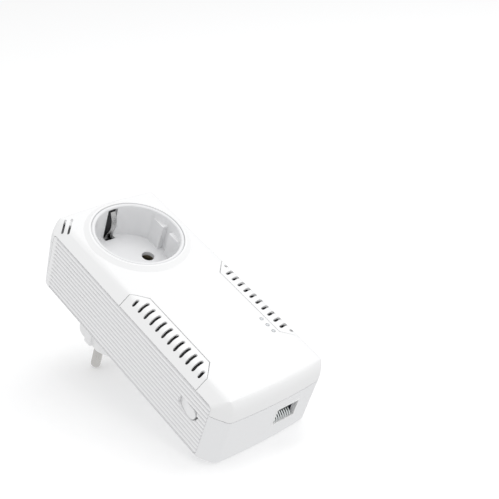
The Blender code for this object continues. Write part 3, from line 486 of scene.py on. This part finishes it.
def dark_mouldings():
    """The black and coloured plastics, most of them inside the housing."""
    return {
        "carrier_plastic": plastic(
            "carrier_black", (0.030, 0.030, 0.033), (0.042, 0.042, 0.045), 0.5, 2600.0
        ),
        "jack_plastic": plastic(
            "jack_black", (0.022, 0.025, 0.042), (0.034, 0.037, 0.058), 0.4, 2600.0
        ),
        "chip_black": plastic(
            "chip_black", (0.028, 0.028, 0.030), (0.045, 0.045, 0.047), 0.6, 5200.0, strength=0.3
        ),
        # Grey that the rim ring carries as painted shade in the socket's groove.
        "seal_grey": plastic("seal_grey", (0.55, 0.553, 0.56), (0.5, 0.503, 0.51), 0.6, 3000.0),
        # Dark grey that the vent sheets and the corner slot floors carry as painted shade.
        "screen_grey": plastic(
            "screen_grey", (0.062, 0.062, 0.064), (0.085, 0.085, 0.088), 0.6, 2000.0, strength=0.4
        ),
        "switch_black": plastic("switch_black", (0.026, 0.026, 0.028), (0.038, 0.038, 0.040), 0.5),
        "ferrite_core": plastic(
            "ferrite_grey", (0.075, 0.073, 0.072), (0.12, 0.115, 0.11), 0.7, 2200.0, strength=0.4
        ),
        "film_capacitor": plastic(
            "film_yellow", (0.70, 0.46, 0.06), (0.62, 0.38, 0.04), 0.32, 1500.0
        ),
        "varistor_coat": plastic(
            "varistor_blue", (0.03, 0.12, 0.38), (0.02, 0.09, 0.30), 0.2, 900.0, coat=0.6
        ),
        "can_sleeve": turns(
            "sleeve_black", (0.035, 0.035, 0.045), (0.02, 0.02, 0.026), 90.0, 0.3, coat=0.3
        ),
        "transformer_tape": turns(
            "tape_yellow", (0.76, 0.56, 0.08), (0.60, 0.42, 0.05), 160.0, 0.4
        ),
    }


def metals():
    """The pins, contacts, straps, screws and wires."""
    along_z = (3000.0, 3000.0, 120.0)
    return {
        # The sleeves' brass is darker and duller than the busbar's: partly brass, partly painted shade
        # for the dark contact holes.
        "contact_brass": metal("sleeve_brass_hole_shade", (0.42, 0.37, 0.28), (0.24, 0.20, 0.14), rough=0.42),
        "busbar_brass": metal("busbar_brass", (0.66, 0.50, 0.24), (0.40, 0.28, 0.12), rough=0.38),
        "pin_nickel": metal("pin_nickel", (0.60, 0.59, 0.575), (0.46, 0.44, 0.42), rough=0.24),
        "clip_nickel": metal("clip_nickel", (0.55, 0.55, 0.55), (0.40, 0.39, 0.38), rough=0.26),
        "strip_nickel": metal("strip_nickel", (0.72, 0.72, 0.71), (0.56, 0.55, 0.54), rough=0.3),
        "strap_steel": metal("strap_zinc", (0.60, 0.61, 0.62), (0.42, 0.42, 0.43), along_z, 0.4),
        "jack_gold": metal("jack_wire", (0.80, 0.82, 0.84), (0.52, 0.60, 0.50), along_z, 0.22),
        "crystal_can": metal("crystal_steel", (0.68, 0.68, 0.68), (0.5, 0.5, 0.5), along_z, 0.3),
        "sink_aluminium": metal(
            "sink_aluminium", (0.74, 0.75, 0.76), (0.58, 0.59, 0.60), along_z, 0.42
        ),
        "screw_steel": metal(
            "screw_zinc", (0.60, 0.60, 0.61), (0.40, 0.41, 0.42), (900.0,) * 3, 0.36
        ),
        "choke_winding": turns(
            "choke_copper", (0.62, 0.24, 0.09), (0.20, 0.06, 0.02), 330.0, 0.3, metallic=0.7
        ),
    }


# The ribbed panel's colour paints shade into its grooves and light along its crests.
def ribbed_finish():
    values = {"First Groove": FIRST_GROOVE_Y, "Pitch": RIB_PITCH, "Top": RIB_TOP_Z + 0.35 * MM}
    return {"ribbed_panel": finish("panel_white", RIBBED, values)}


def board_finish():
    board = finish("board_green", BOARD, {}, strength=0.5, depth=0.00004, coat=0.2)
    return {"board_laminate": board}


FINISHES = {
    **white_mouldings(),
    **ribbed_finish(),
    **dark_mouldings(),
    **metals(),
    **board_finish(),
}
SLOT_OF = {part["node"]: part["material_slot"] for part in frame["record"]["subparts"]}
BODY_OF = {node: obj["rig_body"] for node, obj in frame["nodes"].items()}


def dress_nodes():
    """Every CAD node that stays in view takes the finish of its own slot."""
    for node, obj in frame["nodes"].items():
        for holder in obj.material_slots:
            holder.material = FINISHES[SLOT_OF[node]]


# ---------------------------------------------------------------- shaping by hand


def select_only(piece):
    bpy.ops.object.select_all(action="DESELECT")
    piece.select_set(True)
    bpy.context.view_layer.objects.active = piece


def edit(piece, everything=True):
    select_only(piece)
    bpy.ops.object.mode_set(mode="EDIT")
    bpy.ops.mesh.select_all(action="SELECT" if everything else "DESELECT")


def leave_edit():
    bpy.ops.object.mode_set(mode="OBJECT")


def place_whole(piece):
    """Moves the object's place, turn and scale into its mesh."""
    select_only(piece)
    bpy.ops.object.transform_apply(location=True, rotation=True, scale=True)


def pick_points(piece, wanted):
    """Selects, in edit mode, the points whose place passes the test."""
    edit(piece, everything=False)
    leave_edit()
    for point in piece.data.vertices:
        point.select = wanted(point.co)
    bpy.ops.object.mode_set(mode="EDIT")


def move_points(piece, wanted, offset):
    pick_points(piece, wanted)
    bpy.ops.transform.translate(value=offset)
    leave_edit()


def turn_about(piece, degrees, pivot):
    """Turns the whole mesh about the line through the pivot along Y."""
    edit(piece)
    turn = math.radians(degrees)
    bpy.ops.transform.rotate(value=turn, orient_axis="Y", center_override=pivot)
    leave_edit()


def shifted_copy(piece, offset):
    """A copy with a mesh of its own, moved to its place."""
    copy = bpy.data.objects.new(piece.name, piece.data.copy())
    copy.location = offset
    bpy.context.scene.collection.objects.link(copy)
    place_whole(copy)
    return copy


def apply_modifier(piece, kind, **settings):
    select_only(piece)
    modifier = piece.modifiers.new(kind.lower(), kind)
    for name, value in settings.items():
        setattr(modifier, name, value)
    bpy.ops.object.modifier_apply(modifier=modifier.name)


def carve(piece, tool, operation="DIFFERENCE"):
    apply_modifier(piece, "BOOLEAN", operation=operation, object=tool, solver="EXACT")
    bpy.data.objects.remove(tool)


def round_edges(piece, width, segments=2, angle=34):
    apply_modifier(
        piece,
        "BEVEL",
        width=width,
        segments=segments,
        limit_method="ANGLE",
        angle_limit=math.radians(angle),
        miter_outer="MITER_ARC",
    )


def smooth(piece, angle=36):
    select_only(piece)
    bpy.ops.object.shade_smooth_by_angle(angle=math.radians(angle))
    apply_modifier(piece, "WEIGHTED_NORMAL", keep_sharp=True)


def rounded_block(low, high, axis, radius, segments=8):
    """A block whose four edges along one axis are rounded."""
    middle = (Vector(low) + Vector(high)) / 2
    size = Vector(high) - Vector(low)
    bpy.ops.object.select_all(action="DESELECT")
    bpy.ops.mesh.primitive_cube_add(size=1, location=middle, scale=size)
    piece = bpy.context.object
    place_whole(piece)
    edit(piece, everything=False)
    bpy.ops.mesh.select_mode(type="EDGE")
    leave_edit()
    for side in piece.data.edges:
        first, last = (piece.data.vertices[i].co for i in side.vertices)
        along = last - first
        side.select = abs(along[axis]) > 0.99 * along.length
    bpy.ops.object.mode_set(mode="EDIT")
    bpy.ops.mesh.bevel(offset=radius, segments=segments)
    bpy.ops.mesh.select_mode(type="VERT")
    leave_edit()
    return piece


def bent_strip(points, middle_x, width, thickness):
    """A strip drawn out edge by edge along its bends, then given its thickness."""
    first, second = Vector(points[0]), Vector(points[1])
    bpy.ops.object.select_all(action="DESELECT")
    bpy.ops.mesh.primitive_plane_add(size=width, location=(middle_x, *first))
    strip = bpy.context.object
    place_whole(strip)
    flat_y = first.x
    move_points(strip, lambda point: point.y < flat_y, (0, width / 2, 0))
    step = (0, second.x - first.x - width / 2, second.y - first.y)
    move_points(strip, lambda point: point.y > flat_y + width / 4, step)
    pick_points(strip, lambda point: (point.yz - second).length < 0.01 * MM)
    bpy.ops.mesh.select_mode(type="EDGE")
    for here, there in zip(points[1:], points[2:]):
        step = (0, there[0] - here[0], there[1] - here[1])
        bpy.ops.mesh.extrude_region_move(TRANSFORM_OT_translate={"value": step})
    bpy.ops.mesh.select_mode(type="VERT")
    leave_edit()
    apply_modifier(strip, "SOLIDIFY", thickness=thickness, offset=0)
    edit(strip)
    bpy.ops.mesh.normals_make_consistent(inside=False)
    leave_edit()
    return strip


def settle(piece, name, slot, body, *nodes, finish_name=None):
    """Gives a finished piece its name, finish and body, and hides the CAD nodes it stands for."""
    piece.name = name
    piece.data.name = name
    piece.data.materials.clear()
    piece.data.materials.append(FINISHES[finish_name or slot])
    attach(piece, body)
    if nodes:
        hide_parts(*nodes)


# ---------------------------------------------------------------- mouldings with soft edges

# Each row gives a node, its piece, and the bevel's width in millimetres and segments.
SOFT_PIECES = (
    ("front_cover", "cover_moulding", 0.3, 3),
    ("rear_shell", "shell_moulding", 0.3, 3),
    ("left_vent_insert", "left_vent_grille", 0.22, 2),
    ("right_vent_insert", "right_vent_grille", 0.22, 2),
    ("socket_well", "socket_recess_moulding", 0.3, 3),
    ("plug_body", "plug_moulding", 0.35, 3),
    ("pin_left", "plug_pin_left", 0.12, 2),
    ("pin_right", "plug_pin_right", 0.12, 2),
    ("rj45_jack", "network_jack_body", 0.15, 2),
    ("plug_earth_strip_upper", "plug_side_contact_upper", 0.12, 2),
    ("plug_earth_strip_lower", "plug_side_contact_lower", 0.12, 2),
    ("screw_upper_left", "case_screw_upper_left", 0.12, 2),
    ("screw_upper_right", "case_screw_upper_right", 0.12, 2),
    ("screw_lower_left", "case_screw_lower_left", 0.12, 2),
    ("screw_lower_right", "case_screw_lower_right", 0.12, 2),
)


def merged_copy(node, whole_faces):
    """The node's own shape as one connected mesh, its flat faces whole where asked."""
    piece = bpy.data.objects.new(node + "_shape", frame["nodes"][node].data.copy())
    bpy.context.scene.collection.objects.link(piece)
    edit(piece)
    bpy.ops.mesh.remove_doubles(threshold=0.002 * MM)
    if whole_faces:
        bpy.ops.mesh.dissolve_limited(angle_limit=math.radians(0.6))
    leave_edit()
    return piece


def make_softened_pieces():
    """The moulded and pressed parts, with their edges rounded over."""
    for node, name, width, segments in SOFT_PIECES:
        piece = merged_copy(node, whole_faces=node != "socket_well")
        round_edges(piece, width * MM, segments)
        smooth(piece)
        settle(piece, name, SLOT_OF[node], BODY_OF[node], node)


# ---------------------------------------------------------------- ribbed sides


def at_height(height):
    """A test for the points of one row."""
    return lambda point: abs(point.z - height) < 0.1 * MM


def at_phase(phase):
    """A test for the points at one step across every rib, below the plain margin."""

    def passes(point):
        steps_along = (point.y - FIRST_GROOVE_Y) / RIB_PITCH * RIB_STEPS
        return point.z < RIB_TOP_Z + 0.1 * MM and round(steps_along) % RIB_STEPS == phase

    return passes


def depth_at(phase):
    """How far the ribs' round profile has sunk at one step across."""
    across = math.pi * (phase / RIB_STEPS - 0.5)
    return RIB_DEPTH * (1 - abs(math.cos(across)) ** 0.7) ** 0.8


def plain_sheet(low, high, side):
    """A flat grid with a column for each step across the ribs, and three rows."""
    columns = (RIB_GROOVES - 1) * RIB_STEPS + 5
    step = RIB_PITCH / RIB_STEPS
    near = FIRST_GROOVE_Y - 3 * step
    far = near + columns * step
    right = math.radians(90)
    bpy.ops.object.select_all(action="DESELECT")
    bpy.ops.mesh.primitive_grid_add(
        x_subdivisions=columns,
        y_subdivisions=3,
        size=1,
        location=(side * SIDE_X, (near + far) / 2, (low.z + high.z) / 2),
        rotation=(right, 0, right),
    )
    sheet = bpy.context.object
    sheet.scale = (far - near, high.z - low.z + 2 * SHEET_SPARE, 1)
    place_whole(sheet)
    return sheet


def ribbed_sheet(low, high, side):
    """A sheet whose columns sink between the ribs, and whose upper margin stays plain."""
    sheet = plain_sheet(low, high, side)
    bottom = low.z - SHEET_SPARE
    height = high.z - low.z + 2 * SHEET_SPARE
    for row, target in ((2, RIB_TOP_Z + 0.7 * MM), (1, RIB_TOP_Z)):
        now = bottom + height * row / 3
        move_points(sheet, at_height(now), (0, 0, target - now))
    for phase in range(RIB_STEPS):
        sunk = depth_at(phase)
        if sunk > 0.001 * MM:
            move_points(sheet, at_phase(phase), (-side * sunk, 0, 0))
    return sheet


def thicken_flat(sheet, side, thickness):
    """Pulls the sheet back into a solid whose rear face is flat."""
    edit(sheet)
    bpy.ops.mesh.extrude_region_move(TRANSFORM_OT_translate={"value": (-side * thickness, 0, 0)})
    rear = (side * (SIDE_X - thickness), 0, 0)
    bpy.ops.transform.resize(value=(0, 1, 1), center_override=rear)
    bpy.ops.mesh.select_all(action="SELECT")
    bpy.ops.mesh.normals_make_consistent(inside=False)
    leave_edit()


def make_ribbed_panel(node, name, side):
    """A panel let into one long side. The left one has an opening for the pair button."""
    low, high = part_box(node)
    panel = ribbed_sheet(low, high, side)
    thicken_flat(panel, side, high.x - low.x)
    reach = Vector((3 * MM, 0, 0))
    carve(panel, rounded_block(low - reach, high + reach, 0, 1.6 * MM), "INTERSECT")
    if side < 0:
        way_low = Vector((low.x - 3 * MM, BUTTON_Y - 2.95 * MM, BUTTON_Z - 6.3 * MM))
        way_high = Vector((high.x + 3 * MM, BUTTON_Y + 2.95 * MM, BUTTON_Z + 6.3 * MM))
        carve(panel, rounded_block(way_low, way_high, 0, 2.94 * MM))
    select_only(panel)
    bpy.ops.object.shade_smooth_by_angle(angle=math.radians(32))
    settle(panel, name, "ribbed_panel", "housing", node)


# ---------------------------------------------------------------- grilles and corner slots


def make_vent_shade_sheet(node, name, side):
    """A dark sheet behind the slots of a grille, folded back along the housing's slope: painted shade
    that makes the slots read dark.
    """
    low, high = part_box(node)
    inner, outer = side * 20.6 * MM, side * 28.3 * MM
    sheet_low = Vector((min(inner, outer), -57.9 * MM, low.z + 2.6 * MM))
    sheet_high = Vector((max(inner, outer), -57.6 * MM, high.z - 2.6 * MM))
    shade_sheet = rounded_block(sheet_low, sheet_high, 1, 1.2 * MM, 4)
    move_points(shade_sheet, lambda point: abs(point.x - outer) < 1.6 * MM, (0, 2.4 * MM, 0))
    settle(shade_sheet, name, "carrier_plastic", "housing", finish_name="screen_grey")


def make_slot_shade_floors():
    """The dark floors of the two short slots across the upper left corner: painted shade that makes the
    slots read dark.
    """
    for index, (x, z, length) in enumerate(CORNER_SLOTS):
        middle = Vector((x * MM, -56.6 * MM, z * MM))
        half = Vector((length / 2, 1.1, 0.5)) * MM
        floor = rounded_block(middle - half, middle + half, 1, 0.45 * MM, 4)
        turn_about(floor, 47, middle)
        name = f"corner_slot_shade_floor_{index + 1}"
        settle(floor, name, "carrier_plastic", "housing", finish_name="screen_grey")


# ---------------------------------------------------------------- pair button


def button_block(near, far, half, bottom, top, radius, segments):
    """A rounded block on the button's axis, in millimetres, its height from the middle."""
    low = Vector((near * MM, BUTTON_Y - half * MM, BUTTON_Z + bottom * MM))
    high = Vector((far * MM, BUTTON_Y + half * MM, BUTTON_Z + top * MM))
    return rounded_block(low, high, 0, radius * MM, segments)


def make_button_pad():
    """The pad slopes down into its recess at the upper end."""
    pad = button_block(-30.45, -28.4, 2.75, -5.2, 6.1, 2.74, 10)
    pivot = Vector((-30.45 * MM, BUTTON_Y, BUTTON_Z - 0.6 * MM))
    ramp_low = pivot - Vector((2 * MM, 4 * MM, 0))
    ramp_high = pivot + Vector((0, 4 * MM, 12 * MM))
    ramp = rounded_block(ramp_low, ramp_high, 1, 0.02 * MM, 1)
    turn_about(ramp, -15, pivot)
    carve(pad, ramp)
    round_edges(pad, 0.3 * MM, 3)
    smooth(pad)
    settle(pad, "pair_button_pad", "button_plastic", "button", "pair_button")


def make_button_fittings():
    """The flange that holds the pad in, a dark block of painted shade in the gap at the pad's lower end,
    and the stem that meets the plunger.
    """
    flange = button_block(-28.4, -27.3, 3.2, -6.6, 6.6, 3.19, 10)
    round_edges(flange, 0.2 * MM, 2)
    smooth(flange)
    settle(flange, "pair_button_flange", "button_plastic", "button")
    # A black block of painted shade in the gap at the pad's lower end.
    gap_shade = button_block(-28.9, -28.4, 1.9, -5.95, -3.4, 1.2, 6)
    smooth(gap_shade)
    settle(gap_shade, "pair_button_gap_shade", "switch_black", "button")
    stem = button_block(-27.3, -25.95, 1.5, -1.5, 1.5, 1.49, 8)
    smooth(stem)
    settle(stem, "pair_button_stem", "button_plastic", "button")


# ---------------------------------------------------------------- network port


def make_port_frame():
    """A low bevelled frame round the network port."""
    outer_low = Vector((PORT_X - 6.9 * MM, PORT_FRONT_Y - 0.8 * MM, -100.3 * MM))
    outer_high = Vector((PORT_X + 6.9 * MM, PORT_BACK_Y + 0.8 * MM, -99.2 * MM))
    port = rounded_block(outer_low, outer_high, 2, 0.8 * MM, 5)
    hole_low = Vector((PORT_X - 6.05 * MM, PORT_FRONT_Y + 0.05 * MM, -102 * MM))
    hole_high = Vector((PORT_X + 6.05 * MM, PORT_BACK_Y - 0.05 * MM, -97 * MM))
    carve(port, rounded_block(hole_low, hole_high, 2, 0.45 * MM, 4))
    round_edges(port, 0.22 * MM, 3)
    smooth(port)
    settle(port, "network_port_frame", "cover_plastic", "housing")


def make_port_wires():
    """Eight sprung wires that lean forward from the rear wall of the port."""
    bends = [(y * MM, z * MM) for y, z in WIRE_BENDS]
    wire = bent_strip(bends, PORT_X - 3.5 * WIRE_PITCH, 0.74 * MM, 0.34 * MM)
    others = [shifted_copy(wire, (index * WIRE_PITCH, 0, 0)) for index in range(1, 8)]
    select_only(wire)
    for other in others:
        other.select_set(True)
    bpy.ops.object.join()
    comb = bpy.context.object
    round_edges(comb, 0.08 * MM)
    smooth(comb, 40)
    settle(comb, "network_port_wires", "jack_gold", "housing", "rj45_contacts")


# ---------------------------------------------------------------- socket


def make_rim_shade_ring():
    """A grey ring in the groove between the socket recess and its collar: painted shade standing for the
    groove's soft shading.
    """
    bpy.ops.object.select_all(action="DESELECT")
    bpy.ops.mesh.primitive_torus_add(
        location=(0, RIM_Y + 0.75 * MM, SOCKET_Z),
        rotation=(math.radians(90), 0, 0),
        major_segments=96,
        minor_segments=12,
        major_radius=21.28 * MM,
        minor_radius=0.3 * MM,
    )
    ring = bpy.context.object
    place_whole(ring)
    smooth(ring)
    settle(ring, "socket_rim_shade_ring", "socket_plastic", "housing", finish_name="seal_grey")


def make_spring_slot_shade(name, side):
    """The dark back of a spring's slot: painted shade that makes the slot read black."""
    near, far = sorted((SOCKET_Z + side * 21.2 * MM, SOCKET_Z + side * 21.34 * MM))
    low = (-2.65 * MM, RIM_Y + 1.35 * MM, near)
    high = (2.65 * MM, RIM_Y + 19.4 * MM, far)
    slot_shade = rounded_block(low, high, 2, 0.3 * MM, 3)
    settle(slot_shade, name, "carrier_plastic", "housing")


def make_earth_spring(node, name, body, side):
    """A narrow spring that bows into the recess in one smooth crescent."""
    top, foot = RIM_Y + 3.0 * MM, RIM_Y + 18.6 * MM
    points = []
    for step in range(SPRING_BENDS + 1):
        share = step / SPRING_BENDS
        bow = SPRING_BOW * math.sin(math.pi * share**0.85) ** 1.2
        wall = (19.9 + 0.6 * share) * MM
        points.append((top + (foot - top) * share, SOCKET_Z + side * (wall - bow)))
    points.append((foot + 1.2 * MM, SOCKET_Z + side * 20.5 * MM))
    spring = bent_strip(points, 0.3 * MM, 2.7 * MM, 0.5 * MM)
    round_edges(spring, 0.1 * MM)
    smooth(spring, 40)
    settle(spring, name, "clip_nickel", body, node)


# ---------------------------------------------------------------- the whole adapter

make_camera()
make_floor()
make_room()
make_lights()
dress_nodes()
make_softened_pieces()
make_ribbed_panel("left_side_panel", "left_ribbed_panel", -1)
make_ribbed_panel("right_side_panel", "right_ribbed_panel", 1)
# Dark sheets of painted shade behind the grilles' slots.
make_vent_shade_sheet("left_vent_insert", "left_vent_shade_sheet", -1)
make_vent_shade_sheet("right_vent_insert", "right_vent_shade_sheet", 1)
# Dark slot floors of painted shade.
make_slot_shade_floors()
# A grey ring of painted shade in the socket's groove.
make_rim_shade_ring()
make_button_pad()
make_button_fittings()
make_port_frame()
make_port_wires()
# Dark sheets of painted shade behind the springs' slots.
make_spring_slot_shade("spring_slot_shade_upper", 1)
make_spring_slot_shade("spring_slot_shade_lower", -1)
make_earth_spring("earth_clip_upper", "recess_earth_spring_upper", "clip_upper", 1)
make_earth_spring("earth_clip_lower", "recess_earth_spring_lower", "clip_lower", -1)
